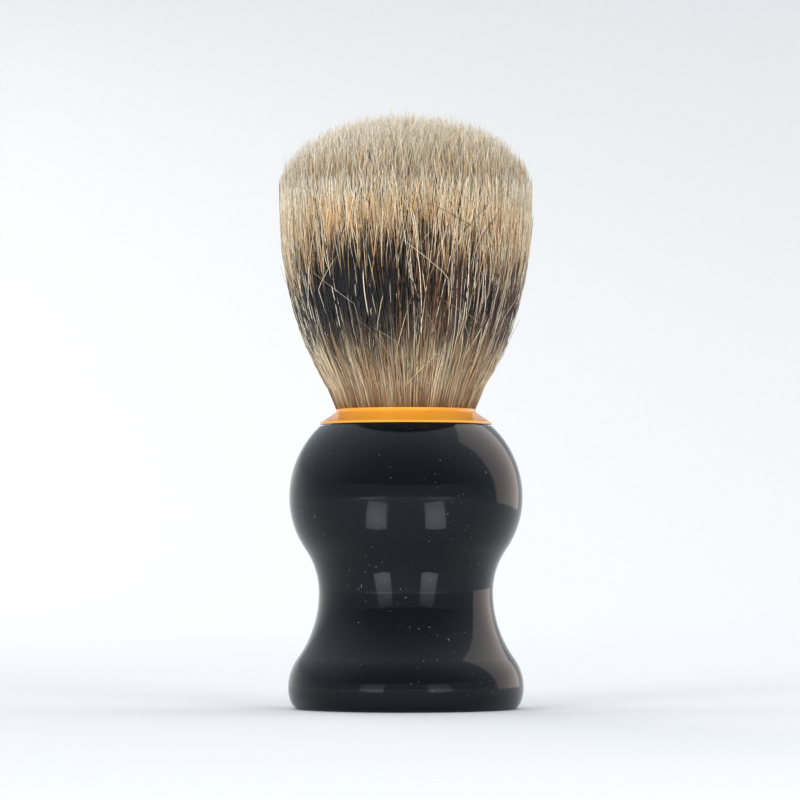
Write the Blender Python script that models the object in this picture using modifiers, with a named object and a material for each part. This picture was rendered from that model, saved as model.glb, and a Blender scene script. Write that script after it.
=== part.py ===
"""A shaving brush: a turned handle, a collar ring and a knot of hair glued into the handle's socket.

Run with: blender --background --python part.py

Units are metres and +Z is up. The brush's axis is Z, and it stands on z = 0. A turned piece is a
profile of (radius, height) points, with the heights counted from the piece's own origin.
"""

import math

import bmesh
import bpy

# Fits and fineness
GAP = 0.0003  # left between any two pieces that meet
TURNING_STEPS = 64  # facets round a turned piece
ARC_STEPS = 8  # segments in a long curve of a profile
EDGE_STEPS = 3  # segments in a small rounded edge
MERGE_DISTANCE = 0.00001
SHARP_ANGLE = math.radians(35)  # edges that turn more than this are shaded sharp

# Handle: heights of the foot and the waist are from the base, the bulb's is down from the deck
HANDLE_HEIGHT = 0.0479  # to the deck that the collar ring sits on
BULB_RADIUS = 0.01985
BULB_DROP = 0.0120
WAIST_RADIUS = 0.0148
WAIST_HEIGHT = 0.0197
FOOT_RADIUS = 0.0200
FOOT_HEIGHT = 0.0036
FOOT_EDGE = 0.0018  # how far the foot's rounded edge draws in at the base
FOOT_RIM = 0.0027  # width of the flat ring that the brush stands on
SHOULDER_TURN = math.radians(47)  # how far the shoulder has turned from upright at the deck
BULB_SHARE = 0.55  # the bulb's share of the curve between bulb and waist
WAIST_SHARE = 0.69  # the waist's share of the curve between waist and foot

# Knot: the bundle of hair, and what holds its roots
KNOT_RADIUS = 0.0110  # of the cup, and of the hair in the collar's mouth
SOCKET_DEPTH = 0.0105
ADHESIVE_THICKNESS = 0.0008
CUP_HEIGHT = 0.0085
CUP_WALL = 0.0009
CUP_FLOOR = 0.0010
RESIN_HEIGHT = 0.0040
THREAD_DIAMETER = 0.0005
THREAD_TURNS = 4
THREAD_PITCH = 0.00062
THREAD_POINTS_PER_TURN = 20
HAIR_LOFT = 0.0500  # hair standing above the collar
FAN_RADIUS = 0.0216
DOME_HEIGHT = 0.0110
FAN_POWER = 2.6  # how early the hair fans out: higher is earlier

# Collar ring
COLLAR_HEIGHT = 0.0026
COLLAR_WIDTH = 0.0033  # from the mouth to the outer lip
COLLAR_MOUTH_BAND = 0.0005  # upright band round the mouth
COLLAR_MOUTH_WALL = 0.0006
COLLAR_LIP_HEIGHT = 0.0004
COLLAR_LIP_STEP = 0.0002
COLLAR_EDGE = 0.00012
BOSS_HEIGHT = 0.0010  # raised ring on the deck that centres the collar
BOSS_WALL = 0.0013
DECK_MARGIN = 0.0001  # of the deck outside the collar

# Base: a bore with a steel slug, closed by a plug
BORE_RADIUS = 0.0093
SLUG_HEIGHT = 0.0100
SLUG_EDGE = 0.0005
PLUG_THICKNESS = 0.0022
PLUG_RECESS = 0.0006  # the plug lies this far above the surface that the brush stands on
PLUG_EDGE = 0.0003
SPIGOT_HEIGHT = 0.0040
SPIGOT_WALL = 0.0012

# Radii that follow from the sizes above
MOUTH_RADIUS = KNOT_RADIUS + GAP  # the socket's wall and the collar's mouth are in line
BOSS_RADIUS = MOUTH_RADIUS + BOSS_WALL
COLLAR_RADIUS = MOUTH_RADIUS + COLLAR_WIDTH
DECK_RADIUS = COLLAR_RADIUS + DECK_MARGIN
CUP_INSIDE = KNOT_RADIUS - CUP_WALL
COIL_RADIUS = CUP_INSIDE - GAP - THREAD_DIAMETER / 2  # of the thread's centreline
TIED_RADIUS = COIL_RADIUS - THREAD_DIAMETER / 2 - GAP  # of the hair inside the thread
COUNTERBORE_RADIUS = FOOT_RADIUS - FOOT_EDGE - FOOT_RIM

# Heights above the base that follow from the sizes above
PLUG_TOP = PLUG_RECESS + PLUG_THICKNESS
SLUG_BOTTOM = PLUG_TOP + SPIGOT_HEIGHT + GAP
BORE_TOP = SLUG_BOTTOM + SLUG_HEIGHT + GAP
SOCKET_FLOOR = HANDLE_HEIGHT - SOCKET_DEPTH
ADHESIVE_BOTTOM = SOCKET_FLOOR + GAP
CUP_BOTTOM = ADHESIVE_BOTTOM + ADHESIVE_THICKNESS + GAP
RESIN_BOTTOM = CUP_BOTTOM + CUP_FLOOR + GAP
ROOT_BOTTOM = RESIN_BOTTOM + RESIN_HEIGHT + GAP
THREAD_BOTTOM = ROOT_BOTTOM + THREAD_DIAMETER / 2
THREAD_TOP = THREAD_BOTTOM + THREAD_TURNS * THREAD_PITCH
COLLAR_BOTTOM = HANDLE_HEIGHT + GAP
COLLAR_TOP = COLLAR_BOTTOM + COLLAR_HEIGHT

# Colour (linear), roughness and metallic value of each piece
FINISHES = {
    "handle_body": ((0.012, 0.013, 0.015), 0.12, 0.0),
    "base_plug": ((0.015, 0.015, 0.016), 0.45, 0.0),
    "ballast_slug": ((0.40, 0.41, 0.42), 0.40, 1.0),
    "socket_adhesive": ((0.55, 0.40, 0.18), 0.25, 0.0),
    "knot_cup": ((0.70, 0.68, 0.60), 0.50, 0.0),
    "resin_plug": ((0.45, 0.24, 0.07), 0.20, 0.0),
    "root_binding": ((0.72, 0.68, 0.58), 0.85, 0.0),
    "collar_ring": ((0.85, 0.30, 0.02), 0.22, 0.0),
    "hair_knot": ((0.42, 0.31, 0.20), 0.80, 0.0),
}


class Brush:
    """The collection that the pieces go in, and the empty that carries them."""

    def __init__(self):
        self.collection = bpy.data.collections.new("shaving_brush")
        bpy.context.scene.collection.children.link(self.collection)
        self.carrier = bpy.data.objects.new("shaving_brush_origin", None)
        self.collection.objects.link(self.carrier)

    def add(self, name, shape, height):
        """Adds a mesh or a curve as the named piece, with its origin on the axis at this height."""
        shape.materials.append(finish_for(name))
        piece = bpy.data.objects.new(name, shape)
        self.collection.objects.link(piece)
        piece.parent = self.carrier
        piece.location.z = height
        return piece


def clear_scene():
    """Removes what the scene starts with."""
    for obj in list(bpy.data.objects):
        bpy.data.objects.remove(obj)


def finish_for(name):
    """The Principled material of one piece."""
    colour, roughness, metallic = FINISHES[name]
    material = bpy.data.materials.new(name)
    material.use_nodes = True
    shader = material.node_tree.nodes["Principled BSDF"]
    shader.inputs["Base Color"].default_value = (*colour, 1.0)
    shader.inputs["Roughness"].default_value = roughness
    shader.inputs["Metallic"].default_value = metallic
    material.diffuse_color = (*colour, 1.0)
    return material


def arc(centre, radii, start, end, steps):
    """Points of an ellipse round centre, from one angle to another, both ends included.

    Angles are from the +r direction towards +z, in radians.
    """
    angles = [start + (end - start) * i / steps for i in range(steps + 1)]
    return [(centre[0] + radii[0] * math.cos(a), centre[1] + radii[1] * math.sin(a)) for a in angles]


def ogee(top, bottom, top_share):
    """An S of two tangent arcs between two points of a profile where it runs straight down.

    top_share is the upper arc's share of the two radii together.
    """
    across = abs(top[0] - bottom[0])
    down = top[1] - bottom[1]
    radii_together = (across**2 + down**2) / (2 * across)
    turn = 2 * math.atan2(across, down)
    inwards = 1 if top[0] > bottom[0] else -1
    upper = radii_together * top_share
    lower = radii_together - upper
    offsets = []
    for i in range(ARC_STEPS + 1):
        angle = turn * i / ARC_STEPS
        offsets.append((inwards * (1 - math.cos(angle)), math.sin(angle)))
    first = [(top[0] - upper * r, top[1] - upper * z) for r, z in offsets]
    second = [(bottom[0] + lower * r, bottom[1] + lower * z) for r, z in offsets]
    return first + second[-2::-1]


def turned(brush, name, height, profile, closed=False):
    """A solid turned about Z from its profile, which runs down the outer side.

    An open profile starts and ends on the axis. A closed one makes a ring.
    """
    outline = bpy.data.meshes.new(name + "_profile")
    edges = [(i, i + 1) for i in range(len(profile) - 1)]
    if closed:
        edges.append((len(profile) - 1, 0))
    outline.from_pydata([(r, 0.0, z) for r, z in profile], edges, [])
    piece = brush.add(name, outline, height)
    screw = piece.modifiers.new("Turning", "SCREW")
    screw.axis = "Z"
    screw.angle = 2 * math.pi
    screw.steps = TURNING_STEPS
    screw.render_steps = TURNING_STEPS
    screw.use_merge_vertices = True
    screw.merge_threshold = MERGE_DISTANCE
    graph = bpy.context.evaluated_depsgraph_get()
    solid = bpy.data.meshes.new_from_object(piece.evaluated_get(graph))
    solid.name = name
    solid.shade_smooth()
    solid.set_sharp_from_angle(angle=SHARP_ANGLE)
    piece.modifiers.clear()
    piece.data = solid
    bpy.data.meshes.remove(outline)
    return piece


def cylinder(brush, name, bottom, radius, height):
    """A solid cylinder that stands at the height bottom, with its origin at its middle."""
    shape = bmesh.new()
    bmesh.ops.create_cone(
        shape, cap_ends=True, segments=TURNING_STEPS, radius1=radius, radius2=radius, depth=height
    )
    solid = bpy.data.meshes.new(name)
    shape.to_mesh(solid)
    shape.free()
    solid.shade_smooth()
    solid.set_sharp_from_angle(angle=SHARP_ANGLE)
    return brush.add(name, solid, bottom + height / 2)


def handle_outline():
    """The handle's outer side, from the deck's edge down to the base: shoulder, bulb, waist and foot."""
    bulb = (BULB_RADIUS, HANDLE_HEIGHT - BULB_DROP)
    waist = (WAIST_RADIUS, WAIST_HEIGHT)
    foot = (FOOT_RADIUS, FOOT_HEIGHT)
    shoulder_radii = (
        (BULB_RADIUS - DECK_RADIUS) / (1 - math.cos(SHOULDER_TURN)),
        BULB_DROP / math.sin(SHOULDER_TURN),
    )
    shoulder_centre = (BULB_RADIUS - shoulder_radii[0], bulb[1])
    edge_centre = (FOOT_RADIUS - FOOT_EDGE, FOOT_HEIGHT)
    return [
        *arc(shoulder_centre, shoulder_radii, SHOULDER_TURN, 0, ARC_STEPS)[:-1],
        *ogee(bulb, waist, BULB_SHARE)[:-1],
        *ogee(waist, foot, WAIST_SHARE)[:-1],
        *arc(edge_centre, (FOOT_EDGE, FOOT_HEIGHT), 0, -math.pi / 2, ARC_STEPS),
    ]


def make_handle_body(brush):
    """The handle: a bulb and a foot with a waist between, a socket in the top and a bore in the base."""
    boss_top = HANDLE_HEIGHT + BOSS_HEIGHT
    socket = [
        (0.0, SOCKET_FLOOR),
        (MOUTH_RADIUS, SOCKET_FLOOR),
        (MOUTH_RADIUS, boss_top),
        (BOSS_RADIUS, boss_top),
        (BOSS_RADIUS, HANDLE_HEIGHT),
    ]
    bore = [
        (COUNTERBORE_RADIUS, 0.0),
        (COUNTERBORE_RADIUS, PLUG_TOP + GAP),
        (BORE_RADIUS, PLUG_TOP + GAP),
        (BORE_RADIUS, BORE_TOP),
        (0.0, BORE_TOP),
    ]
    turned(brush, "handle_body", 0.0, [*socket, *handle_outline(), *bore])


def make_base_plug(brush):
    """The disc that closes the base, with a hollow spigot that goes up the bore."""
    disc_radius = COUNTERBORE_RADIUS - GAP
    spigot_radius = BORE_RADIUS - GAP
    spigot_inside = spigot_radius - SPIGOT_WALL
    spigot_top = PLUG_THICKNESS + SPIGOT_HEIGHT
    profile = [
        (0.0, PLUG_THICKNESS),
        (spigot_inside, PLUG_THICKNESS),
        (spigot_inside, spigot_top),
        (spigot_radius, spigot_top),
        (spigot_radius, PLUG_THICKNESS),
        (disc_radius, PLUG_THICKNESS),
        *arc((disc_radius - PLUG_EDGE, PLUG_EDGE), (PLUG_EDGE, PLUG_EDGE), 0, -math.pi / 2, EDGE_STEPS),
        (0.0, 0.0),
    ]
    turned(brush, "base_plug", PLUG_RECESS, profile)


def make_ballast_slug(brush):
    """The steel slug in the bore, with chamfered ends."""
    slug = cylinder(brush, "ballast_slug", SLUG_BOTTOM, BORE_RADIUS - GAP, SLUG_HEIGHT)
    chamfer = slug.modifiers.new("Chamfer", "BEVEL")
    chamfer.width = SLUG_EDGE
    chamfer.segments = 1
    chamfer.limit_method = "ANGLE"


def make_socket_adhesive(brush):
    """The bed of glue on the socket's floor that the knot's cup is pressed into."""
    cylinder(brush, "socket_adhesive", ADHESIVE_BOTTOM, KNOT_RADIUS, ADHESIVE_THICKNESS)


def make_knot_cup(brush):
    """The plastic cup that the hair's roots are cast into."""
    profile = [
        (0.0, CUP_FLOOR),
        (CUP_INSIDE, CUP_FLOOR),
        (CUP_INSIDE, CUP_HEIGHT),
        (KNOT_RADIUS, CUP_HEIGHT),
        (KNOT_RADIUS, 0.0),
        (0.0, 0.0),
    ]
    turned(brush, "knot_cup", CUP_BOTTOM, profile)


def make_resin_plug(brush):
    """The resin in the cup that grips the ends of the roots."""
    cylinder(brush, "resin_plug", RESIN_BOTTOM, CUP_INSIDE - GAP, RESIN_HEIGHT)


def make_root_binding(brush):
    """The thread wound round the roots, as one helix."""
    curve = bpy.data.curves.new("root_binding", "CURVE")
    curve.dimensions = "3D"
    curve.bevel_depth = THREAD_DIAMETER / 2
    curve.bevel_resolution = 2
    curve.use_fill_caps = True
    helix = curve.splines.new("POLY")
    helix.points.add(THREAD_TURNS * THREAD_POINTS_PER_TURN)
    for i, point in enumerate(helix.points):
        turns = i / THREAD_POINTS_PER_TURN
        angle = 2 * math.pi * turns
        point.co = (COIL_RADIUS * math.cos(angle), COIL_RADIUS * math.sin(angle), THREAD_PITCH * turns, 1.0)
    brush.add("root_binding", curve, THREAD_BOTTOM)


def make_collar_ring(brush):
    """The ring round the hair: an upright band at the mouth, a conical flank and a thin outer lip."""
    band_radius = MOUTH_RADIUS + COLLAR_MOUTH_WALL
    seat_radius = BOSS_RADIUS + GAP
    edge = (COLLAR_EDGE, COLLAR_EDGE)
    band_edge = (band_radius - COLLAR_EDGE, COLLAR_HEIGHT - COLLAR_EDGE)
    lip_edge = (COLLAR_RADIUS - COLLAR_EDGE, COLLAR_LIP_HEIGHT - COLLAR_EDGE)
    profile = [
        (MOUTH_RADIUS, COLLAR_HEIGHT),
        *arc(band_edge, edge, math.pi / 2, 0, EDGE_STEPS),
        (band_radius, COLLAR_HEIGHT - COLLAR_MOUTH_BAND),
        (COLLAR_RADIUS - COLLAR_LIP_STEP, COLLAR_LIP_HEIGHT),
        *arc(lip_edge, edge, math.pi / 2, 0, EDGE_STEPS),
        (COLLAR_RADIUS, 0.0),
        (seat_radius, 0.0),
        (seat_radius, BOSS_HEIGHT),
        (MOUTH_RADIUS, BOSS_HEIGHT),
    ]
    turned(brush, "collar_ring", COLLAR_BOTTOM, profile, closed=True)


def make_hair_knot(brush):
    """The bundle of hair as one solid: tied roots, the neck in the collar, the fan and the domed top.

    Its origin is at the collar's mouth, so its roots are below z = 0.
    """
    fan_top = HAIR_LOFT - DOME_HEIGHT
    fan_steps = 2 * ARC_STEPS
    fan = []
    for i in range(1, fan_steps + 1):
        below_top = i / fan_steps
        radius = FAN_RADIUS - (FAN_RADIUS - KNOT_RADIUS) * below_top**FAN_POWER
        fan.append((radius, fan_top * (1 - below_top)))
    tied_top = min(THREAD_TOP + GAP, CUP_BOTTOM + CUP_HEIGHT)
    full_width = min(CUP_BOTTOM + CUP_HEIGHT + KNOT_RADIUS - TIED_RADIUS, COLLAR_TOP - GAP)
    profile = [
        *arc((0.0, fan_top), (FAN_RADIUS, DOME_HEIGHT), math.pi / 2, 0, ARC_STEPS),
        *fan,
        (KNOT_RADIUS, full_width - COLLAR_TOP),
        (TIED_RADIUS, tied_top - COLLAR_TOP),
        (TIED_RADIUS, ROOT_BOTTOM - COLLAR_TOP),
        (0.0, ROOT_BOTTOM - COLLAR_TOP),
    ]
    turned(brush, "hair_knot", COLLAR_TOP, profile)


def main():
    clear_scene()
    brush = Brush()
    make_handle_body(brush)
    make_base_plug(brush)
    make_ballast_slug(brush)
    make_socket_adhesive(brush)
    make_knot_cup(brush)
    make_resin_plug(brush)
    make_root_binding(brush)
    make_collar_ring(brush)
    make_hair_knot(brush)


main()
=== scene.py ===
"""A shaving brush, made for looks: the knot hair by hair, the polished handle and the collar ring.

It is laid out as a Blender add-on and is run as a script. Lengths are metres, +Z is up and the brush's
axis is Z. Places come from the frame, which holds the brush's working model.
"""

import math

import bpy
import numpy as np
from bpy.props import FloatProperty, FloatVectorProperty, IntProperty, PointerProperty
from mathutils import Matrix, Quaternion, Vector


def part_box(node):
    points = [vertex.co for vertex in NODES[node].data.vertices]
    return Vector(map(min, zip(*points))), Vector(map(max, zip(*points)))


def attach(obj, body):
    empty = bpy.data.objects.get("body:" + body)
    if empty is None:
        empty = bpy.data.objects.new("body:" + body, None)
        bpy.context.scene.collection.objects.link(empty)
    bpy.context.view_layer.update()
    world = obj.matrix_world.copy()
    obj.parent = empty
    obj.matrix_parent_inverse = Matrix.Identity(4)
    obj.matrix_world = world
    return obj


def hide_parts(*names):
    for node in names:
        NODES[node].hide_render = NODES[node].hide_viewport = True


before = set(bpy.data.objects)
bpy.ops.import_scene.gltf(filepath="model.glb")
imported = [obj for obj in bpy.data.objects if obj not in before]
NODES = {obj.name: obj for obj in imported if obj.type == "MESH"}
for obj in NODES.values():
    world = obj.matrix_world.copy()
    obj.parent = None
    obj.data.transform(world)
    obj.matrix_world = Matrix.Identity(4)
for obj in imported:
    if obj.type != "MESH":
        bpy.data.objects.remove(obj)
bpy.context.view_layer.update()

bl_info = {
    "name": "Shaving Brush",
    "version": (1, 0, 0),
    "blender": (4, 5, 0),
    "location": "3D View > Sidebar > Shaving Brush",
    "description": "Makes a shaving brush's handle, collar ring, knot of hair and studio",
    "category": "Add Mesh",
}

BODY = "root"

GAP = 0.0003  # the working model's gap between pieces that meet
TURNING_STEPS = 256
ARC_STEPS = 28  # segments in a long curve of a profile
EDGE_STEPS = 6  # segments in a small rounded edge
SHARP_ANGLE = math.radians(35)
MERGE_DISTANCE = 0.000002

BOSS_WALL = 0.0013  # wall of the boss that the collar ring sits round
DECK_MARGIN = 0.0001  # the deck reaches this far past the collar ring
PLUG_FLANGE = 0.0022  # thickness of the base plug's disc
SHOULDER_TURN = math.radians(47)  # how far from upright the shoulder has turned at the deck
BULB_SHARE = 0.55  # the upper arc's share of the two radii between bulb and waist
WAIST_SHARE = 0.69  # and between waist and foot


def low(node):
    """Height of a node's lowest point."""
    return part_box(node)[0][2]


def high(node):
    """Height of a node's highest point."""
    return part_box(node)[1][2]


def reach(node):
    """A round node's greatest radius."""
    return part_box(node)[1][0]


def linear(srgb):
    """A linear RGBA colour from an sRGB hex value."""
    parts = [int(srgb[i : i + 2], 16) / 255 for i in (1, 3, 5)]
    return (*[p / 12.92 if p <= 0.04045 else ((p + 0.055) / 1.055) ** 2.4 for p in parts], 1.0)


def colour_property(name, description, srgb):
    """A colour that the user can change, from an sRGB hex value."""
    return FloatVectorProperty(
        name=name, description=description, subtype="COLOR", size=4, min=0, max=1, default=linear(srgb)
    )


def count_property(name, description, count, least=1):
    """A whole number that the user can change."""
    return IntProperty(name=name, description=description, default=count, min=least)


def length_property(name, description, metres):
    """A length that the user can change."""
    return FloatProperty(
        name=name, description=description, default=metres, min=0, precision=5, unit="LENGTH"
    )


# Sizes and colours


class HandleSettings(bpy.types.PropertyGroup):
    """The handle's outline and colour."""

    bulb_radius: length_property("Bulb radius", "Widest part of the upper swelling", 0.01985)
    bulb_drop: length_property("Bulb drop", "Distance from the deck down to the widest part", 0.0120)
    waist_radius: length_property("Waist radius", "Narrowest part, where the fingers grip", 0.0148)
    waist_height: length_property("Waist height", "Height of the narrowest part above the base", 0.0197)
    foot_height: length_property("Foot height", "Height of the foot's widest part above the base", 0.0036)
    foot_edge: length_property("Foot edge", "How far the foot's rounded edge draws in at the base", 0.0018)
    foot_rim: length_property("Foot rim", "Width of the flat ring that the brush stands on", 0.0027)
    resin: colour_property("Resin", "Colour of the cast resin", "#060a0f")
    dust: colour_property("Dust", "Colour of the dust on the handle", "#55585a")


class CollarSettings(bpy.types.PropertyGroup):
    """The collar ring's section and colour."""

    width: length_property("Width", "From the mouth to the outer lip", 0.0033)
    mouth_band: length_property("Mouth band", "Height of the upright band round the mouth", 0.0005)
    mouth_wall: length_property("Mouth wall", "Thickness of the upright band round the mouth", 0.0006)
    lip_height: length_property("Lip height", "Height of the thin outer lip", 0.0004)
    lip_step: length_property("Lip step", "How far the outer lip stands out from the flank", 0.0002)
    edge: length_property("Edge", "Radius of the small rounded edges", 0.00012)
    face: colour_property("Face", "Colour of the moulded ring", "#e0962d")


class KnotSettings(bpy.types.PropertyGroup):
    """How the knot's hair is set and coloured."""

    seed: count_property("Seed", "Picks another knot of the same kind", 11, 0)
    hairs: count_property("Hairs", "Hairs in the outer part of the knot", 12000, 100)
    core: count_property("Core hairs", "Hairs in the middle of the knot", 26000, 100)
    tufts: count_property("Tufts", "Locks that the hairs' tips gather into", 700)
    loose: count_property("Loose hairs", "Hairs that lie across the others", 2000)
    strays: count_property("Strays", "Bent hairs that stand clear of the knot", 90)
    thickness: length_property("Hair thickness", "Diameter of a usual hair at its thickest", 0.00012)
    dome: length_property("Dome height", "Height of the knot's rounded top", 0.0110)
    fan_power: FloatProperty(name="Fan", description="How early the hair fans out", default=2.6, min=1)
    fullness: FloatProperty(
        name="Fullness", description="Share of the knot's width that is filled", default=0.98, min=0.5, max=1
    )
    root: colour_property("Root", "Colour next to the collar", "#e0c8a3")
    tip: colour_property("Tip", "Colour of the tips", "#f3ead6")
    band: colour_property("Band", "Colour of the dark band", "#2a1e1a")


class StudioSettings(bpy.types.PropertyGroup):
    """The camera and the studio."""

    distance: length_property("Camera distance", "From the brush's axis to the lens", 0.70)
    camera_height: length_property("Camera height", "Height of the lens above the floor", 0.026)
    aim_height: length_property("Aim height", "Height of the middle of the picture", 0.0524)
    aside: length_property("Aside", "How far the camera stands to the left of the brush", 0.0010)
    field: length_property("Field", "Width of the picture at the brush", 0.136)
    paper: colour_property("Paper", "Colour of the seamless paper", "#d0d0d0")


# Tools for shapes


def arc(centre, radii, start, end, steps):
    """Points of an ellipse round centre, from one angle to another, both ends included.

    Angles are from the +r direction towards +z, in radians.
    """
    angles = [start + (end - start) * i / steps for i in range(steps + 1)]
    return [(centre[0] + radii[0] * math.cos(a), centre[1] + radii[1] * math.sin(a)) for a in angles]


def ogee(top, bottom, top_share):
    """An S of two tangent arcs between two points of a profile where it runs straight down.

    top_share is the upper arc's share of the two radii together.
    """
    across = abs(top[0] - bottom[0])
    down = top[1] - bottom[1]
    radii_together = (across**2 + down**2) / (2 * across)
    turn = 2 * math.atan2(across, down)
    inwards = 1 if top[0] > bottom[0] else -1
    upper = radii_together * top_share
    lower = radii_together - upper
    offsets = []
    for i in range(ARC_STEPS + 1):
        angle = turn * i / ARC_STEPS
        offsets.append((inwards * (1 - math.cos(angle)), math.sin(angle)))
    first = [(top[0] - upper * r, top[1] - upper * z) for r, z in offsets]
    second = [(bottom[0] + lower * r, bottom[1] + lower * z) for r, z in offsets]
    return first + second[-2::-1]


def add_object(name, mesh, material):
    """An object with this mesh and material, in the scene."""
    mesh.materials.append(material)
    obj = bpy.data.objects.new(name, mesh)
    bpy.context.scene.collection.objects.link(obj)
    return obj


def turned(name, profile, material, closed=False):
    """A solid turned about Z from a profile of (radius, height) points that runs down its outer side."""
    outline = bpy.data.meshes.new(name + "_profile")
    edges = [(i, i + 1) for i in range(len(profile) - 1)]
    if closed:
        edges.append((len(profile) - 1, 0))
    outline.from_pydata([(r, 0.0, z) for r, z in profile], edges, [])
    obj = add_object(name, outline, material)
    screw = obj.modifiers.new("Turning", "SCREW")
    screw.axis = "Z"
    screw.angle = 2 * math.pi
    screw.steps = TURNING_STEPS
    screw.render_steps = TURNING_STEPS
    screw.use_merge_vertices = True
    screw.merge_threshold = MERGE_DISTANCE
    graph = bpy.context.evaluated_depsgraph_get()
    solid = bpy.data.meshes.new_from_object(obj.evaluated_get(graph))
    solid.name = name
    solid.shade_smooth()
    solid.set_sharp_from_angle(angle=SHARP_ANGLE)
    obj.modifiers.clear()
    obj.data = solid
    bpy.data.meshes.remove(outline)
    return obj


# Tools for materials


def add_node(tree, kind, settings, inputs):
    """Adds a node with its settings, and with its inputs as values or as links from other nodes."""
    made = tree.nodes.new(kind)
    for name, value in settings.items():
        setattr(made, name, value)
    for name, value in inputs.items():
        if isinstance(value, bpy.types.NodeSocket):
            tree.links.new(value, made.inputs[name])
        else:
            made.inputs[name].default_value = value
    return made


def start_material(name, inputs):
    """A new material, its node tree and its Principled shader with these values on its own sockets."""
    material = bpy.data.materials.new(name)
    material.use_nodes = True
    tree = material.node_tree
    shader = tree.nodes["Principled BSDF"]
    for socket, value in inputs.items():
        shader.inputs[socket].default_value = value
    return material, tree, shader


def fill_ramp(ramp_node, stops, interpolation="LINEAR"):
    """Gives a colour ramp its (position, colour) stops."""
    ramp = ramp_node.color_ramp
    ramp.interpolation = interpolation
    while len(ramp.elements) > 1:
        ramp.elements.remove(ramp.elements[-1])
    ramp.elements[0].position, ramp.elements[0].color = stops[0]
    for position, colour in stops[1:]:
        ramp.elements.new(position).color = colour
    return ramp_node.outputs["Color"]


def grey(value):
    """A grey RGBA colour of this linear value."""
    return (value, value, value, 1.0)


# Materials. The scales of their patterns are marks to the metre.

DUST_GRAIN = 2600.0  # grains 0.38 mm apart, of which the strongest show as specks of 0.1 to 0.2 mm
DUST_DRIFTS = 85.0  # the specks gather in drifts about 12 mm across
SCUFF_LINES = (3000.0, 150.0, 420.0)  # lines some millimetres long, drawn 0.1 mm wide to show
SCUFF_TURN = (0.5, 0.3, 0.9)  # the way the lines run, in radians
BUFFED_PATCHES = 120.0  # buffing leaves patches of slightly softer gloss about 8 mm across
FLOW_MARKS = (60.0, 60.0, 8000.0)  # marks round the ring from the mould, about 0.12 mm apart
FLOW_PATCHES = 160.0  # and patches of deeper colour about 6 mm across


def polished_resin(settings):
    """Cast polyester resin, turned and buffed: a deep black gloss with fine scuffs and settled dust."""
    material, tree, shader = start_material(
        "Cast polyester resin, polished black",
        {"Roughness": 0.07, "IOR": 1.55, "Specular IOR Level": 0.2},
    )
    place = add_node(tree, "ShaderNodeTexCoord", {}, {}).outputs["Object"]
    # Dust shows where the grains' noise passes a limit, which is lower inside a drift.
    specks = add_node(tree, "ShaderNodeTexNoise", {}, {"Vector": place, "Scale": DUST_GRAIN, "Detail": 0.0})
    drifts = add_node(tree, "ShaderNodeTexNoise", {}, {"Vector": place, "Scale": DUST_DRIFTS, "Detail": 2.0})
    limit = add_node(
        tree,
        "ShaderNodeMapRange",
        {},
        {
            "Value": drifts.outputs["Fac"],
            "From Min": 0.35,
            "From Max": 0.7,
            "To Min": -0.87,
            "To Max": -0.775,
        },
    )
    over = add_node(
        tree, "ShaderNodeMath", {"operation": "ADD"}, {0: specks.outputs["Fac"], 1: limit.outputs["Result"]}
    )
    dust = add_node(
        tree,
        "ShaderNodeMapRange",
        {},
        {"Value": over.outputs["Value"], "From Min": 0.0, "From Max": 0.06, "To Min": 0.0, "To Max": 1.0},
    )
    # Scuffs from handling only dull the gloss.
    stretched = add_node(
        tree, "ShaderNodeMapping", {}, {"Vector": place, "Rotation": SCUFF_TURN, "Scale": SCUFF_LINES}
    )
    scuffs = add_node(
        tree, "ShaderNodeTexNoise", {}, {"Vector": stretched.outputs["Vector"], "Scale": 1.0, "Detail": 1.0}
    )
    scuffed = add_node(
        tree,
        "ShaderNodeMapRange",
        {},
        {"Value": scuffs.outputs["Fac"], "From Min": 0.7, "From Max": 0.8, "To Min": 0.0, "To Max": 1.0},
    )
    haze = add_node(tree, "ShaderNodeTexNoise", {}, {"Vector": place, "Scale": BUFFED_PATCHES, "Detail": 3.0})
    gloss = add_node(
        tree,
        "ShaderNodeMapRange",
        {},
        {"Value": haze.outputs["Fac"], "From Min": 0.35, "From Max": 0.7, "To Min": 0.05, "To Max": 0.12},
    )
    rough = add_node(
        tree,
        "ShaderNodeMath",
        {"operation": "MULTIPLY_ADD"},
        {0: scuffed.outputs["Result"], 1: 0.14, 2: gloss.outputs["Result"]},
    )
    rougher = add_node(
        tree,
        "ShaderNodeMath",
        {"operation": "MULTIPLY_ADD"},
        {0: dust.outputs["Result"], 1: 0.5, 2: rough.outputs["Value"]},
    )
    tree.links.new(rougher.outputs["Value"], shader.inputs["Roughness"])
    colour = add_node(
        tree,
        "ShaderNodeMix",
        {"data_type": "RGBA"},
        {"Factor": dust.outputs["Result"], 6: settings.resin, 7: settings.dust},
    )
    tree.links.new(colour.outputs[2], shader.inputs["Base Color"])
    return material


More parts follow.
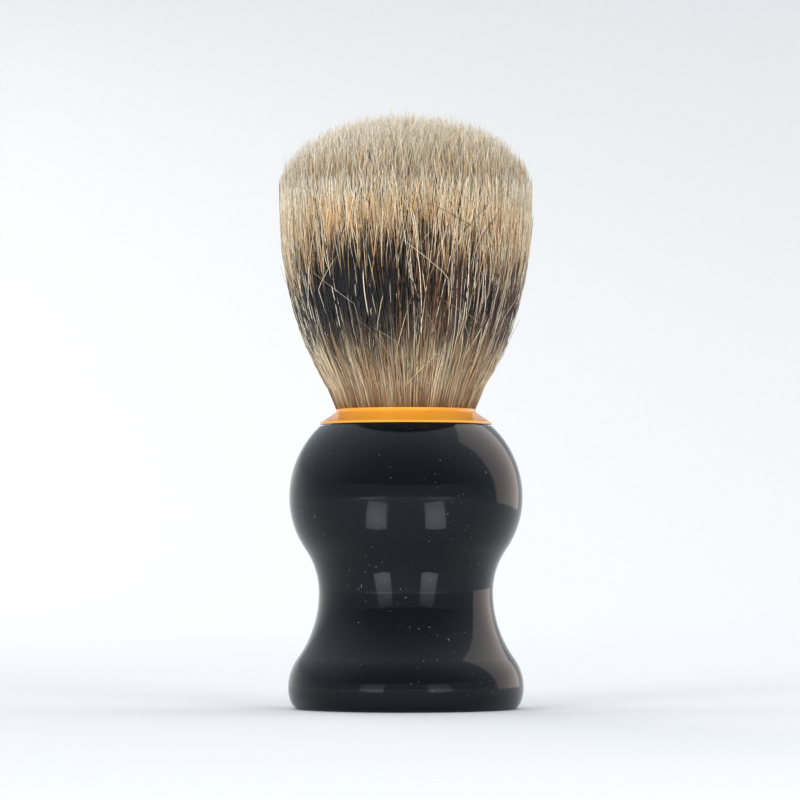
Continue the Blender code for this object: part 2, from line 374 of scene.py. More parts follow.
def moulded_orange(settings):
    """Moulded ABS in orange-gold: an even gloss with faint flow marks round the ring."""
    material, tree, shader = start_material(
        "Moulded ABS, glossy orange",
        {"Roughness": 0.2, "IOR": 1.53, "Subsurface Weight": 0.12, "Subsurface Scale": 0.0008},
    )
    place = add_node(tree, "ShaderNodeTexCoord", {}, {}).outputs["Object"]
    marks = add_node(tree, "ShaderNodeMapping", {}, {"Vector": place, "Scale": FLOW_MARKS})
    flow = add_node(
        tree, "ShaderNodeTexNoise", {}, {"Vector": marks.outputs["Vector"], "Scale": 1.0, "Detail": 3.0}
    )
    gloss = add_node(
        tree,
        "ShaderNodeMapRange",
        {},
        {"Value": flow.outputs["Fac"], "From Min": 0.3, "From Max": 0.7, "To Min": 0.14, "To Max": 0.28},
    )
    tree.links.new(gloss.outputs["Result"], shader.inputs["Roughness"])
    patch = add_node(tree, "ShaderNodeTexNoise", {}, {"Vector": place, "Scale": FLOW_PATCHES, "Detail": 2.0})
    face = settings.face
    deeper = (face[0] * 0.93, face[1] * 0.86, face[2] * 0.75, 1.0)
    tone = add_node(tree, "ShaderNodeValToRGB", {}, {"Fac": patch.outputs["Fac"]})
    tree.links.new(fill_ramp(tone, [(0.35, tuple(face)), (0.8, deeper)]), shader.inputs["Base Color"])
    return material


HAIR_COLUMNS = 96  # tones of hair, side by side on the hair's map
BLACK, BROWN, RED, TAN, BLOND = range(5)  # kinds of hair, by the colour of the band
KIND_COLUMNS = ((0, 26), (26, 48), (48, 62), (62, 76), (76, 96))  # the columns of each kind

# Where a kind of hair gathers: direction and half-width in radians, and how much more of it there is. The
# biggest black patch, towards the front left, makes that side of the knot darker.
BLACK_PATCHES = ((4.0, 0.55, 1.6), (5.5, 0.12, 0.3), (0.9, 0.35, 0.6), (2.3, 0.25, 0.5))
BLOND_PATCHES = ((5.75, 0.42, 0.30), (1.6, 0.4, 0.2), (3.0, 0.3, 0.12))


def badger_hair(settings):
    """Badger hair, washed and dressed: a soft sheen along each hair, which is banded tan, dark and ivory.

    The map runs along the hair upwards, and its columns are kinds of hair from black-banded to blond.
    """
    material, tree, shader = start_material(
        "Badger hair, washed and dressed", {"Roughness": 0.42, "IOR": 1.55, "Specular IOR Level": 0.5}
    )
    place = add_node(tree, "ShaderNodeUVMap", {"uv_map": "OFBake"}, {}).outputs["UV"]
    split = add_node(tree, "ShaderNodeSeparateXYZ", {}, {"Vector": place})
    across = split.outputs["X"]
    scaled = add_node(tree, "ShaderNodeMath", {"operation": "MULTIPLY"}, {0: across, 1: float(HAIR_COLUMNS)})
    column = add_node(tree, "ShaderNodeMath", {"operation": "FLOOR"}, {0: scaled.outputs["Value"]})
    chance = add_node(
        tree, "ShaderNodeTexWhiteNoise", {"noise_dimensions": "1D"}, {"W": column.outputs["Value"]}
    )
    chances = add_node(tree, "ShaderNodeSeparateColor", {}, {"Color": chance.outputs["Color"]})
    moved = add_node(
        tree, "ShaderNodeMapRange", {}, {"Value": chances.outputs["Red"], "To Min": -0.06, "To Max": 0.06}
    )
    height = add_node(
        tree, "ShaderNodeMath", {"operation": "ADD"}, {0: split.outputs["Y"], 1: moved.outputs["Result"]}
    ).outputs["Value"]
    tip = tuple(settings.tip)
    # Pale hair: dull at the root, tan past the band, ivory at the tip.
    pale = fill_ramp(
        add_node(tree, "ShaderNodeValToRGB", {}, {"Fac": height}),
        [
            (0.0, linear("#b3946d")),
            (0.10, tuple(settings.root)),
            (0.30, linear("#e3cfae")),
            (0.55, linear("#e4d0b0")),
            (0.72, linear("#dcbd90")),
            (0.86, linear("#e5d0aa")),
            (1.0, tip),
        ],
    )
    # Rusty hair: the same with an orange stretch past the band.
    rusty = fill_ramp(
        add_node(tree, "ShaderNodeValToRGB", {}, {"Fac": height}),
        [
            (0.0, linear("#80593a")),
            (0.12, linear("#b38c66")),
            (0.34, linear("#b4885a")),
            (0.66, linear("#bd8350")),
            (0.80, linear("#cf9c62")),
            (0.92, linear("#dfbc8c")),
            (1.0, tip),
        ],
    )
    rust = add_node(
        tree,
        "ShaderNodeMapRange",
        {},
        {"Value": chances.outputs["Blue"], "From Min": 0.42, "From Max": 0.75, "To Min": 0.0, "To Max": 1.0},
    )
    ground = add_node(
        tree, "ShaderNodeMix", {"data_type": "RGBA"}, {"Factor": rust.outputs["Result"], 6: pale, 7: rusty}
    )
    # Where the dark band lies along the hair.
    mask = fill_ramp(
        add_node(tree, "ShaderNodeValToRGB", {}, {"Fac": height}),
        [(0.24, grey(0.0)), (0.34, grey(0.85)), (0.42, grey(1.0)), (0.67, grey(1.0)), (0.79, grey(0.0))],
    )
    bands = {
        BLACK: linear("#121216"),
        BROWN: tuple(settings.band),
        RED: linear("#50301f"),
        TAN: linear("#8a6040"),
        BLOND: linear("#ecdec2"),
    }
    kind = fill_ramp(
        add_node(tree, "ShaderNodeValToRGB", {}, {"Fac": across}),
        [(KIND_COLUMNS[band][0] / HAIR_COLUMNS, colour) for band, colour in bands.items()],
        "CONSTANT",
    )
    banded = add_node(
        tree, "ShaderNodeMix", {"data_type": "RGBA"}, {"Factor": mask, 6: ground.outputs[2], 7: kind}
    )
    # Hairs differ in tone, though their tips are more alike.
    alike = fill_ramp(
        add_node(tree, "ShaderNodeValToRGB", {}, {"Fac": height}), [(0.72, grey(1.0)), (1.0, grey(0.75))]
    )
    bright = add_node(
        tree, "ShaderNodeMapRange", {}, {"Value": chances.outputs["Green"], "To Min": 0.38, "To Max": 1.15}
    )
    toned = add_node(
        tree,
        "ShaderNodeMix",
        {"data_type": "RGBA", "blend_type": "MULTIPLY"},
        {"Factor": alike, 6: banded.outputs[2], 7: bright.outputs["Result"]},
    )
    tree.links.new(toned.outputs[2], shader.inputs["Base Color"])
    return material


def plain_finish(name, colour, roughness, metallic, grain, darker):
    """A plain material with a fine mottle: grain is the size of its marks in metres.

    The marks go from the colour to a darker share of it, and take the gloss with them.
    """
    material, tree, shader = start_material(name, {"Roughness": roughness, "Metallic": metallic})
    place = add_node(tree, "ShaderNodeTexCoord", {}, {}).outputs["Object"]
    marks = add_node(tree, "ShaderNodeTexNoise", {}, {"Vector": place, "Scale": 1 / grain, "Detail": 3.0})
    shade = (colour[0] * darker, colour[1] * darker, colour[2] * darker, 1.0)
    tone = add_node(tree, "ShaderNodeValToRGB", {}, {"Fac": marks.outputs["Fac"]})
    tree.links.new(fill_ramp(tone, [(0.35, tuple(colour)), (0.7, shade)]), shader.inputs["Base Color"])
    gloss = add_node(
        tree,
        "ShaderNodeMapRange",
        {},
        {"Value": marks.outputs["Fac"], "To Min": roughness * 0.8, "To Max": roughness * 1.2},
    )
    tree.links.new(gloss.outputs["Result"], shader.inputs["Roughness"])
    return material


# The knot

HAIR_START_DEPTH = 0.0020  # the hairs are drawn from this far down the mouth
BUNDLE_RINGS = 9  # rings of corners along a hair of the bundle
CORE_RINGS = 5  # and along one in its middle
CORE_FROM = 0.45  # share of the length from which a hair in the middle is drawn
CORE_REACH = 0.78  # share of the knot's radius that the middle takes
TIP_FROM = 0.97  # share of the length from which a hair of the bundle narrows to its point
LOOSE_RINGS = 14  # rings along a loose hair, which bends more

HAIR_SIDES = 3
CORNER_WAY = (0.31, 0.95, 0.05)  # a nearly level direction, which sets how a hair's corners are turned
COLUMN_MARGIN = 0.2  # share of a map column that is left free beside a hair
CORNER_STEP = 0.3  # and between two of its corners
CAP_WIDTH = 0.004  # what a hair's level cap takes of the map's height

# A hair's width: shares of its greatest width, and of its length
ROOT_WIDTH = 0.72
WIDEST_FROM = 0.55
NARROWS_FROM = 0.70
TIP_NARROWING = 0.48
WIDTH_SCATTER = 0.32
WIDTH_LIMITS = (0.6, 1.9)

# Kinds of hair: shares of all hairs
BROWN_BELOW = 0.66
# With fewer brown hairs towards +X there are more red and tan ones, so the bands are lighter on that side.
BROWN_SWING = 0.16  # there are fewer brown hairs towards +X
RED_BELOW = 0.88
BLACK_SHARE = 0.08  # outside the black patches
BLOND_SHARE = 0.07
LOOSE_BLOND_SHARE = 0.38
STRAY_BLOND_SHARE = 0.35
LIKE_ITS_TUFT = 0.45  # hairs that have the tone of the tuft they end in

# The dark band: shares of the length
BAND_LIFT = 0.09  # how much higher it reaches at the front and back
BAND_SCATTER = 0.035
BAND_MIDDLE = 0.66  # where a lift moves it most

# How the hairs stray, as standard deviations, in metres and radians, or as limits
LEAN = 0.0026
SPLAY = 0.0014
TWIST = 0.09
WAVE = 0.00016
WAVES = (0.8, 2.6)  # waves along a hair
KINK = 0.0060
KINKED_SHARE = 0.22
KINK_PLACES = (0.25, 0.85)
TUFT_PULL = (0.15, 0.8)  # how far hairs gather towards the middle of their tuft
HAIR_PULL = (0.3, 1.1)
TUFT_DRIFT = 0.05  # share of the knot's radius
TUFT_DROP = 0.0007
TIP_DROP = 0.0014
SHORT_SHARE = 0.25  # hairs that end lower than the rest
SHORT_DROP = (0.001, 0.010)
PAST_OUTLINE = 0.02  # how far past the knot's radius a tip may stand, as a share of it


class Knot:
    """Where the knot's hair stands: heights are above the collar's mouth."""

    def __init__(self, settings):
        self.settings = settings
        self.mouth = high("collar_ring")
        self.loft = high("hair_knot") - self.mouth
        self.fan = reach("hair_knot") * settings.fullness
        self.neck = reach("knot_cup")
        self.fan_top = self.loft - settings.dome
        self.start = -HAIR_START_DEPTH
        self.rng = np.random.default_rng(settings.seed)

    def spread(self, height):
        """The knot's radius at a height."""
        below = np.clip(1 - height / self.fan_top, 0, 1)
        return self.fan - (self.fan - self.neck) * below**self.settings.fan_power

    def tip_height(self, out):
        """The dome's height over a hair that stands this share of the way out."""
        return self.fan_top + self.settings.dome * np.sqrt(np.clip(1 - out**2, 0, 1))

    def along(self, height):
        """How far up the map a height above the mouth is, as a share of the whole loft."""
        return (height - self.start) / (self.loft - self.start)


def gathered(azimuth, share, patches):
    """The share of a kind of hair in each direction: the same all round, and more in its patches."""
    total = np.full(len(azimuth), share)
    for centre, width, more in patches:
        off = (azimuth - centre + np.pi) % (2 * np.pi) - np.pi
        total += more * np.exp(-((off / width) ** 2))
    return total


def hair_columns(rng, azimuth, blond_share):
    """A column of the hair's map for each hair: most are brown, with black and blond patches."""
    hairs = len(azimuth)
    chance = rng.random(hairs)
    brown_below = BROWN_BELOW - BROWN_SWING * np.cos(azimuth)
    kinds = np.where(chance < brown_below, BROWN, np.where(chance < RED_BELOW, RED, TAN))
    kinds = np.where(rng.random(hairs) < gathered(azimuth, BLACK_SHARE, BLACK_PATCHES), BLACK, kinds)
    kinds = np.where(rng.random(hairs) < gathered(azimuth, blond_share, BLOND_PATCHES), BLOND, kinds)
    first, last = np.array(KIND_COLUMNS)[kinds].T
    return first + np.floor(rng.random(hairs) * (last - first)).astype(int)


def warped_spans(rng, shares, azimuth):
    """How far along the map each ring is. The dark band reaches higher at the front, back and in places."""
    lift = BAND_LIFT * np.cos(azimuth + np.pi / 2) ** 2 + rng.normal(0, BAND_SCATTER, len(azimuth))
    window = np.clip(1 - ((shares - BAND_MIDDLE) / (1 - BAND_MIDDLE)) ** 2, 0, 1)
    return shares - lift[:, None] * window


def hair_faces(rings):
    """The triangles of one hair, with its corners counted from the root and its point last."""
    sides = HAIR_SIDES
    last = (rings - 2) * sides
    faces = [(0, 2, 1)]
    for ring in range(rings - 2):
        for corner in range(sides):
            a = ring * sides + corner
            b = ring * sides + (corner + 1) % sides
            faces.append((a, b, b + sides))
            faces.append((a, b + sides, a + sides))
    for corner in range(sides):
        faces.append((last + corner, last + (corner + 1) % sides, last + sides))
    return np.array(faces)


def hair_mesh(name, paths, radii, columns, spans, material):
    """One object of many hairs, each a three-sided tube that closes to a point.

    paths is (hairs, rings, 3), radii is (hairs, rings), and spans is how far along the map each ring is.
    """
    hairs, rings, _ = paths.shape
    body = rings - 1
    along = np.gradient(paths, axis=1)
    along /= np.linalg.norm(along, axis=2, keepdims=True)
    side = np.cross(along, np.array(CORNER_WAY))
    side /= np.linalg.norm(side, axis=2, keepdims=True)
    front = np.cross(along, side)
    turns = 2 * np.pi * np.arange(HAIR_SIDES) / HAIR_SIDES
    corners = (
        paths[:, :body, None, :]
        + radii[:, :body, None, None] * side[:, :body, None, :] * np.cos(turns)[:, None]
        + radii[:, :body, None, None] * front[:, :body, None, :] * np.sin(turns)[:, None]
    )
    points = np.concatenate([corners.reshape(hairs, -1, 3), paths[:, -1:, :]], axis=1)
    faces = hair_faces(rings)
    firsts = points.shape[1] * np.arange(hairs)
    all_faces = (faces[None] + firsts[:, None, None]).reshape(-1, 3)
    mesh = bpy.data.meshes.new(name)
    mesh.from_pydata(points.reshape(-1, 3), [], all_faces)
    # Each hair lies in one column of the map.
    u = (columns[:, None, None] + COLUMN_MARGIN + CORNER_STEP * np.arange(HAIR_SIDES)) / HAIR_COLUMNS
    u = np.broadcast_to(u, (hairs, body, HAIR_SIDES)).reshape(hairs, -1)
    v = np.repeat(spans[:, :body], HAIR_SIDES, axis=1)
    tip_u = (columns[:, None] + 0.5) / HAIR_COLUMNS
    map_u = np.concatenate([u, tip_u], axis=1)
    map_v = np.concatenate([v, spans[:, -1:]], axis=1)
    flat = np.stack([map_u.reshape(-1)[all_faces], map_v.reshape(-1)[all_faces]], axis=-1)
    # The cap at the root is level, so one of its corners is moved to give it a width on the map.
    flat[:: len(faces), 1, 1] += CAP_WIDTH
    layer = mesh.uv_layers.new(name="OFBake")
    layer.data.foreach_set("uv", flat.astype(np.float32).reshape(-1))
    mesh.shade_smooth()
    return add_object(name, mesh, material)


def hair_thickness(knot, share):
    """Radius of each hair at each ring: thickest past the middle, and finer at the tip."""
    swell = ROOT_WIDTH + (1 - ROOT_WIDTH) * np.sin(np.pi / 2 * np.clip(share / WIDEST_FROM, 0, 1))
    taper = 1 - TIP_NARROWING * np.clip((share - NARROWS_FROM) / (1 - NARROWS_FROM), 0, 1) ** 1.3
    each = np.clip(np.exp(knot.rng.normal(0, WIDTH_SCATTER, len(share))), *WIDTH_LIMITS)
    return knot.settings.thickness / 2 * each[:, None] * swell * taper


def kinked(rng, hairs, shares):
    """Sideways steps of hairs, some of which have a sharp kink: (hairs, rings, 2) in metres."""
    at = rng.uniform(*KINK_PLACES, hairs)[:, None]
    past = np.clip(shares - at, 0, 1)
    way = rng.normal(0, KINK, (hairs, 2)) * (rng.random(hairs) < KINKED_SHARE)[:, None]
    return past[:, :, None] * way[:, None, :]


def bundle_paths(knot, out, azimuth, shares):
    """Paths of the bundle's hairs, which fan out of the collar, weave a little and gather in tufts.

    It also gives each hair's tuft, and the direction that each tuft is in.
    """
    rng = knot.rng
    hairs = len(out)
    tufts = knot.settings.tufts
    tuft_out = np.sqrt(rng.random(tufts))
    tuft_turn = rng.random(tufts) * 2 * np.pi
    tuft_place = np.stack([tuft_out * np.cos(tuft_turn), tuft_out * np.sin(tuft_turn)], axis=1)
    place = np.stack([out * np.cos(azimuth), out * np.sin(azimuth)], axis=1)
    tuft = np.array([np.argmin(((tuft_place - p) ** 2).sum(axis=1)) for p in place])
    pull = rng.uniform(*TUFT_PULL, tufts)[tuft] * rng.uniform(*HAIR_PULL, hairs)
    drift = rng.normal(0, TUFT_DRIFT, (tufts, 2))[tuft]
    short = np.where(rng.random(hairs) < SHORT_SHARE, rng.uniform(*SHORT_DROP, hairs), 0)
    drop = rng.exponential(TIP_DROP, hairs) + short + rng.normal(0, TUFT_DROP, tufts)[tuft]
    lean = rng.normal(0, LEAN, (hairs, 2))
    # The powers say how late along a hair each of these shows: a splay is in the tip alone.
    gather = (pull[:, None] * shares**1.6)[:, :, None]
    at = place[:, None, :] * (1 - gather) + (tuft_place[tuft][:, None, :]) * gather
    at = at + drift[:, None, :] * (shares**2)[:, :, None]
    turns = rng.uniform(*WAVES, hairs)[:, None] * shares + rng.random(hairs)[:, None]
    swing = (np.sin(2 * np.pi * turns) * shares)[:, :, None]
    wave = (rng.normal(0, WAVE, (hairs, 2)))[:, None, :] * swing
    leaning = lean[:, None, :] * (shares**1.5)[:, :, None]
    splay = rng.normal(0, SPLAY, (hairs, 2))[:, None, :] * (shares**7)[:, :, None]
    aside = leaning + splay + wave + kinked(rng, hairs, shares)
    # A hair is as tall as the dome is where the hair's tip ends up, or shorter.
    tip_out = np.linalg.norm(at[:, -1] + aside[:, -1] / knot.fan, axis=1)
    tips = knot.tip_height(tip_out) - drop
    height = knot.start + (tips[:, None] - knot.start) * shares
    twist = rng.normal(0, TWIST, hairs)[:, None] * shares
    x = at[:, :, 0] * np.cos(twist) - at[:, :, 1] * np.sin(twist)
    y = at[:, :, 0] * np.sin(twist) + at[:, :, 1] * np.cos(twist)
    radius = knot.spread(height)
    x = x * radius + aside[:, :, 0]
    y = y * radius + aside[:, :, 1]
    # No hair stands further out than the knot is wide, except by a little near its tip.
    limit = radius * (1.0 + PAST_OUTLINE * shares)
    shrink = np.minimum(1, limit / np.maximum(np.hypot(x, y), 1e-9))
    return np.stack([x * shrink, y * shrink, height + knot.mouth], axis=2), tuft, tuft_turn


def make_bundle(knot, material):
    """The bundle itself, in pieces from the middle of the knot outwards.

    The hairs in the middle are drawn from halfway up, since the outer ones hide the rest of them.
    Those of each group stand from one share of the knot's radius to another, and a lower crowding
    sets more of them near the outside.
    """
    rng = knot.rng
    settings = knot.settings
    core_names = ("core_hair", "inner_hair", "middle_hair")
    outer_names = ("outer_hair", "surface_hair", "rim_hair")
    groups = (
        (core_names, settings.core, 0.0, CORE_REACH, 0.5, CORE_FROM, CORE_RINGS),
        (outer_names, settings.hairs, CORE_REACH, 1.0, 0.6, 0.0, BUNDLE_RINGS),
    )
    made = []
    for names, hairs, inmost, outmost, crowding, first, rings in groups:
        out = np.sort(inmost + (outmost - inmost) * rng.random(hairs) ** crowding)
        azimuth = rng.random(hairs) * 2 * np.pi
        along = np.append(np.linspace(first, TIP_FROM, rings - 1), 1.0)
        shares = np.broadcast_to(along, (hairs, rings))
        paths, tuft, tuft_azimuth = bundle_paths(knot, out, azimuth, shares)
        radii = hair_thickness(knot, shares)
        columns = hair_columns(rng, azimuth, BLOND_SHARE)
        tuft_columns = hair_columns(rng, tuft_azimuth, BLOND_SHARE)
        columns = np.where(rng.random(hairs) < LIKE_ITS_TUFT, tuft_columns[tuft], columns)
        spans = warped_spans(rng, shares, azimuth)
        for name, own in zip(names, np.array_split(np.arange(hairs), len(names))):
            made.append(hair_mesh(name, paths[own], radii[own], columns[own], spans[own], material))
    return made


def make_loose_hair(knot, material):
    """Hairs at the knot's surface that lie across the others, and weave in and out among them."""
    rng = knot.rng
    hairs = knot.settings.loose
    out = rng.uniform(0.90, 0.995, hairs)  # share of the knot's radius
    azimuth = rng.random(hairs) * 2 * np.pi
    shares = np.broadcast_to(np.linspace(0, 1, LOOSE_RINGS), (hairs, LOOSE_RINGS))
    # Nearly half of them come out of the surface part of the way up.
    foot = np.where(rng.random(hairs) < 0.45, rng.uniform(0.002, 0.026, hairs), knot.start)
    tips = knot.tip_height(np.minimum(out, 0.97)) - rng.exponential(0.006, hairs)
    least_length = 0.006
    height = foot[:, None] + np.maximum(tips - foot, least_length)[:, None] * shares
    length = (height[:, -1:] - height[:, :1]) / knot.loft
    # A few twist far round the knot, and nearly half are kinked. Both are less in a short hair.
    twist = rng.laplace(0, 0.42, hairs)[:, None] * (shares - 0.3) * length
    at = rng.uniform(0.2, 0.8, hairs)[:, None]
    kink = (rng.normal(0, 0.9, hairs) * (rng.random(hairs) < 0.45))[:, None] * np.clip(shares - at, 0, 1)
    turn = azimuth[:, None] + twist + kink * length
    # They weave more inwards than outwards, and less where they are packed at the mouth.
    turns = rng.uniform(0.6, 1.8, hairs)[:, None] * shares + rng.random(hairs)[:, None]
    weave = rng.uniform(0.0003, 0.0014, hairs)[:, None] * (np.sin(2 * np.pi * turns) - 0.45)
    radius = out[:, None] * knot.spread(height) + weave * np.clip(height / 0.010, 0.1, 1)
    path = np.stack([radius * np.cos(turn), radius * np.sin(turn), height + knot.mouth], axis=2)
    radii = hair_thickness(knot, shares) * 1.2
    columns = hair_columns(rng, azimuth, LOOSE_BLOND_SHARE)
    return hair_mesh("loose_hair", path, radii, columns, knot.along(height), material)


def make_strays(knot, material):
    """Bent hairs that stand a little clear of the knot's outline."""
    rng = knot.rng
    hairs = knot.settings.strays
    azimuth = rng.random(hairs) * 2 * np.pi
    shares = np.broadcast_to(np.linspace(0, 1, LOOSE_RINGS), (hairs, LOOSE_RINGS))
    foot = rng.uniform(0.001, 0.024, hairs)
    length = rng.uniform(0.008, 0.020, hairs)
    height = foot[:, None] + length[:, None] * shares
    at = rng.uniform(0.35, 0.8, hairs)[:, None]
    kink = rng.normal(0, 0.5, hairs)[:, None] * np.clip(shares - at, 0, 1)
    turn = azimuth[:, None] + rng.normal(0, 0.12, hairs)[:, None] * shares + kink
    away = rng.uniform(0.0, 0.0013, hairs)[:, None] * shares**1.5
    radius = knot.spread(height) + away
    path = np.stack([radius * np.cos(turn), radius * np.sin(turn), height + knot.mouth], axis=2)
    radii = hair_thickness(knot, shares) * 0.85
    columns = hair_columns(rng, azimuth, STRAY_BLOND_SHARE)
    return hair_mesh("stray_hair", path, radii, columns, knot.along(height), material)


# Operators


class BRUSH_OT_handle(bpy.types.Operator):
    """Makes the polished handle in the working model's place"""

    bl_idname = "brush.handle"
    bl_label = "Handle"

    def execute(self, context):
        settings = context.scene.brush_handle
        deck = low("collar_ring") - GAP
        boss_top = high("handle_body")
        foot_radius = reach("handle_body")
        mouth = reach("socket_adhesive") + GAP
        socket_floor = low("socket_adhesive") - GAP
        bore_radius = reach("ballast_slug") + GAP
        bore_top = high("ballast_slug") + GAP
        boss_radius = mouth + BOSS_WALL
        deck_radius = reach("collar_ring") + DECK_MARGIN
        counterbore = foot_radius - settings.foot_edge - settings.foot_rim
        counterbore_top = low("base_plug") + PLUG_FLANGE + GAP
        bulb = (settings.bulb_radius, deck - settings.bulb_drop)
        waist = (settings.waist_radius, settings.waist_height)
        foot = (foot_radius, settings.foot_height)
        shoulder_radii = (
            (settings.bulb_radius - deck_radius) / (1 - math.cos(SHOULDER_TURN)),
            settings.bulb_drop / math.sin(SHOULDER_TURN),
        )
        shoulder_centre = (settings.bulb_radius - shoulder_radii[0], bulb[1])
        edge_centre = (foot_radius - settings.foot_edge, settings.foot_height)
        edge_radii = (settings.foot_edge, settings.foot_height)
        profile = [
            (0.0, socket_floor),
            (mouth, socket_floor),
            (mouth, boss_top),
            (boss_radius, boss_top),
            (boss_radius, deck),
            *arc(shoulder_centre, shoulder_radii, SHOULDER_TURN, 0, ARC_STEPS)[:-1],
            *ogee(bulb, waist, BULB_SHARE)[:-1],
            *ogee(waist, foot, WAIST_SHARE)[:-1],
            *arc(edge_centre, edge_radii, 0, -math.pi / 2, ARC_STEPS),
            (counterbore, 0.0),
            (counterbore, counterbore_top),
            (bore_radius, counterbore_top),
            (bore_radius, bore_top),
            (0.0, bore_top),
        ]
        handle = turned("polished_handle", profile, polished_resin(settings))
        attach(handle, BODY)
        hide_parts("handle_body")
        return {"FINISHED"}


class BRUSH_OT_collar(bpy.types.Operator):
    """Makes the collar ring in the working model's place"""

    bl_idname = "brush.collar"
    bl_label = "Collar ring"

    def execute(self, context):
        settings = context.scene.brush_collar
        bottom = low("collar_ring")
        top = high("collar_ring")
        radius = reach("collar_ring")
        mouth = radius - settings.width
        band_radius = mouth + settings.mouth_wall
        lip_top = bottom + settings.lip_height
        seat_radius = mouth + BOSS_WALL + GAP
        seat_top = high("handle_body") + GAP
        edge = (settings.edge, settings.edge)
        profile = [
            *arc((mouth + settings.edge, top - settings.edge), edge, math.pi, math.pi / 2, EDGE_STEPS),
            *arc((band_radius - settings.edge, top - settings.edge), edge, math.pi / 2, 0, EDGE_STEPS),
            (band_radius, top - settings.mouth_band),
            (radius - settings.lip_step, lip_top),
            *arc((radius - settings.edge, lip_top - settings.edge), edge, math.pi / 2, 0, EDGE_STEPS),
            (radius, bottom),
            (seat_radius, bottom),
            (seat_radius, seat_top),
            (mouth, seat_top),
        ]
        ring = turned("orange_collar", profile, moulded_orange(settings), closed=True)
        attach(ring, BODY)
        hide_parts("collar_ring")
        return {"FINISHED"}


class BRUSH_OT_knot(bpy.types.Operator):
    """Sets the knot's hair in the collar's mouth"""

    bl_idname = "brush.knot"
    bl_label = "Knot of hair"

    def execute(self, context):
        settings = context.scene.brush_knot
        knot = Knot(settings)
        material = badger_hair(settings)
        pieces = make_bundle(knot, material)
        pieces.append(make_loose_hair(knot, material))
        pieces.append(make_strays(knot, material))
        for piece in pieces:
            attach(piece, BODY)
        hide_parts("hair_knot")
        return {"FINISHED"}


class BRUSH_OT_inside(bpy.types.Operator):
    """Gives the base plug and the pieces inside the handle their materials"""

    bl_idname = "brush.inside"
    bl_label = "Base plug and inside pieces"

    def execute(self, context):
        plug = "Moulded polypropylene, black"
        cup = "Moulded polypropylene, natural"
        epoxy = plain_finish("Cast epoxy, amber", linear("#b07a35"), 0.2, 0.0, 0.0012, 0.8)
        finishes = {
            "base_plug": plain_finish(plug, linear("#202124"), 0.42, 0.0, 0.0003, 0.7),
            "ballast_slug": plain_finish("Turned mild steel", linear("#a9abad"), 0.38, 1.0, 0.0006, 0.8),
            "socket_adhesive": epoxy,
            "resin_plug": epoxy,
            "knot_cup": plain_finish(cup, linear("#dcd8cb"), 0.45, 0.0, 0.0005, 0.9),
            "root_binding": plain_finish("Waxed cotton thread", linear("#dcd3bf"), 0.8, 0.0, 0.00015, 0.7),
        }
        for name, finish in finishes.items():
            slots = NODES[name].material_slots
            if not slots:
                raise RuntimeError(f"{name} has no material slot")
            for place in slots:
                place.material = finish
        return {"FINISHED"}


class BRUSH_OT_studio(bpy.types.Operator):
    """Sets up the seamless paper, the soft lights and the camera"""

    bl_idname = "brush.studio"
    bl_label = "Studio"

    def execute(self, context):
        settings = context.scene.brush_studio
        make_paper(settings)
        make_lights()
        make_camera(settings)
        return {"FINISHED"}


def make_paper(settings):
    """Seamless paper: a flat floor that curves up into a wall all round."""
    floor_radius = 0.8
    cove = 1.2
    rise = math.radians(50)  # how far the paper has turned up where it ends
    profile = [
        *arc((floor_radius, cove), (cove, cove), rise - math.pi / 2, -math.pi / 2, ARC_STEPS),
        (0.0, 0.0),
    ]
    finish = plain_finish("Seamless paper, pale", settings.paper, 0.85, 0.0, 0.002, 0.985)
    turned("seamless_paper", profile, finish)


def add_softbox(name, place, aim, size, watts, colour, roll=0.0):
    """A soft light at a place, aimed at a point. Its size is a width and a height, and roll turns it."""
    data = bpy.data.lights.new(name, "AREA")
    data.shape = "RECTANGLE"
    data.size, data.size_y = size
    data.energy = watts
    data.color = colour[:3]
    light = bpy.data.objects.new(name, data)
    light.location = place
    facing = (Vector(aim) - Vector(place)).to_track_quat("-Z", "Y")
    light.rotation_euler = (facing @ Quaternion((0, 0, 1), roll)).to_euler()
    light.visible_camera = False
    bpy.context.scene.collection.objects.link(light)
    return light


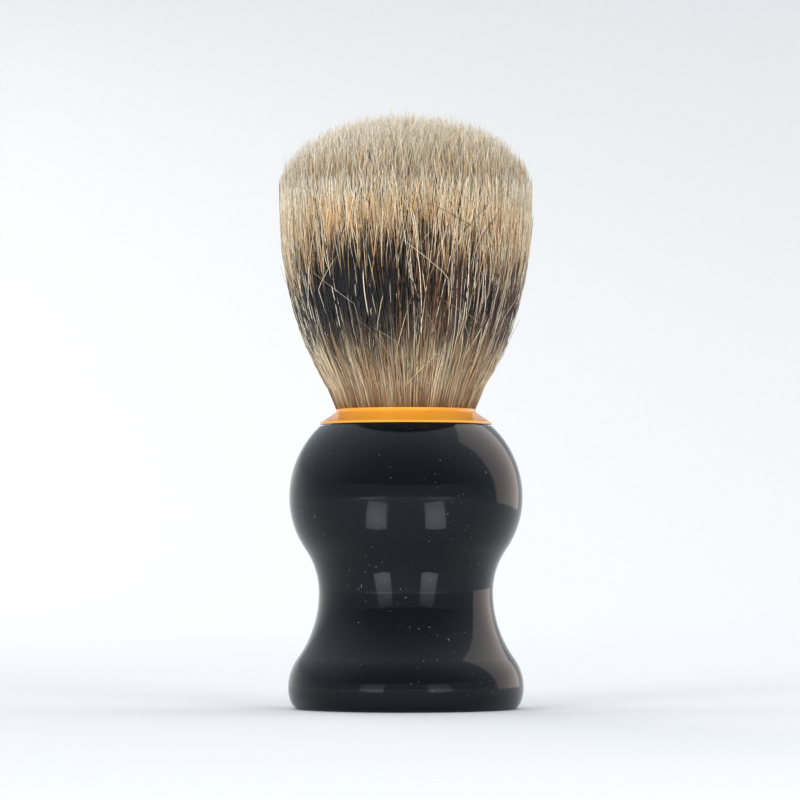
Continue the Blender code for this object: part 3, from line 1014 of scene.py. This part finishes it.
def make_lights():
    """Soft light from the room, softboxes all round, and two low reflectors close in front.

    The room is brighter overhead and behind. The softboxes in front and behind light the hair but don't
    glare off the handle, and the reflectors only put two small highlights on it.
    """
    white = linear("#ffffff")
    middle = (0.0, 0.0, 0.05)
    for side, watts in ((-1, 6.7), (1, 5.4)):
        front = add_softbox("front_softbox", (side * 0.5, -0.8, 0.24), middle, (0.35, 0.35), watts, white)
        front.visible_glossy = False
        reflector = add_softbox(
            "low_reflector",
            (side * 0.0261, -0.0544, 0.0147),
            (side * 0.0052, -0.019, 0.033),
            (0.019, 0.032),
            0.0013,
            linear("#e2ecf4"),
            roll=side * 0.2,
        )
        reflector.visible_diffuse = False
        reflector.data.spread = math.radians(80)
    beside = add_softbox("side_softbox", (0.297, 0.185, 0.20), middle, (0.36, 0.5), 0.92, linear("#f0dccf"))
    beside.visible_diffuse = False
    back = add_softbox("back_softbox", (-0.5, 1.3, 0.9), middle, (0.6, 0.6), 6.5, linear("#fff4e6"))
    back.visible_glossy = False
    wall = add_softbox("wall_softbox", (0.0, 0.2, 1.2), (0.0, 1.7, 0.45), (1.6, 0.3), 10.0, white)
    wall.visible_glossy = False
    world = bpy.data.worlds.new("Studio air")
    world.use_nodes = True
    tree = world.node_tree
    way = add_node(tree, "ShaderNodeTexCoord", {}, {}).outputs["Generated"]
    parts = add_node(tree, "ShaderNodeSeparateXYZ", {}, {"Vector": way})
    overhead = add_node(
        tree,
        "ShaderNodeMapRange",
        {"interpolation_type": "SMOOTHSTEP"},
        {"Value": parts.outputs["Z"], "To Min": 0.68, "To Max": 1.45},
    )
    behind = add_node(
        tree,
        "ShaderNodeMapRange",
        {"interpolation_type": "SMOOTHSTEP"},
        {"Value": parts.outputs["Y"], "From Min": -0.9, "From Max": 0.1, "To Min": 0.4, "To Max": 1.0},
    )
    strength = add_node(
        tree,
        "ShaderNodeMath",
        {"operation": "MULTIPLY"},
        {0: overhead.outputs["Result"], 1: behind.outputs["Result"]},
    )
    background = tree.nodes["Background"]
    background.inputs["Color"].default_value = linear("#e4edf6")
    tree.links.new(strength.outputs["Value"], background.inputs["Strength"])
    bpy.context.scene.world = world


def make_camera(settings):
    """A long lens, level with the lower half of the brush."""
    data = bpy.data.cameras.new("camera")
    data.sensor_width = 36.0
    data.lens = data.sensor_width * settings.distance / settings.field
    data.clip_start = 0.01
    camera = bpy.data.objects.new("camera", data)
    place = Vector((-settings.aside, -settings.distance, settings.camera_height))
    aim = Vector((-settings.aside, 0.0, settings.aim_height))
    camera.location = place
    camera.rotation_euler = (aim - place).to_track_quat("-Z", "Y").to_euler()
    bpy.context.scene.collection.objects.link(camera)
    bpy.context.scene.camera = camera
    bpy.context.scene.view_settings.view_transform = "Standard"


class BRUSH_PT_panel(bpy.types.Panel):
    """The shaving brush's panel in the 3D view's sidebar."""

    bl_label = "Shaving Brush"
    bl_idname = "BRUSH_PT_panel"
    bl_space_type = "VIEW_3D"
    bl_region_type = "UI"
    bl_category = "Shaving Brush"

    def draw(self, context):
        for settings_name, _, operators in SECTIONS:
            box = self.layout.box()
            settings = getattr(context.scene, settings_name)
            for name in settings.bl_rna.properties.keys():
                if name not in ("name", "rna_type"):
                    box.prop(settings, name)
            for operator in operators:
                box.operator(operator.bl_idname)


SECTIONS = (
    ("brush_handle", HandleSettings, (BRUSH_OT_handle, BRUSH_OT_inside)),
    ("brush_collar", CollarSettings, (BRUSH_OT_collar,)),
    ("brush_knot", KnotSettings, (BRUSH_OT_knot,)),
    ("brush_studio", StudioSettings, (BRUSH_OT_studio,)),
)


def register():
    for name, group, operators in SECTIONS:
        bpy.utils.register_class(group)
        setattr(bpy.types.Scene, name, PointerProperty(type=group))
        for operator in operators:
            bpy.utils.register_class(operator)
    bpy.utils.register_class(BRUSH_PT_panel)


def unregister():
    bpy.utils.unregister_class(BRUSH_PT_panel)
    for name, group, operators in reversed(SECTIONS):
        for operator in reversed(operators):
            bpy.utils.unregister_class(operator)
        delattr(bpy.types.Scene, name)
        bpy.utils.unregister_class(group)


def main():
    register()
    bpy.ops.brush.handle()
    bpy.ops.brush.collar()
    bpy.ops.brush.inside()
    bpy.ops.brush.knot()
    bpy.ops.brush.studio()


if __name__ == "__main__":
    main()
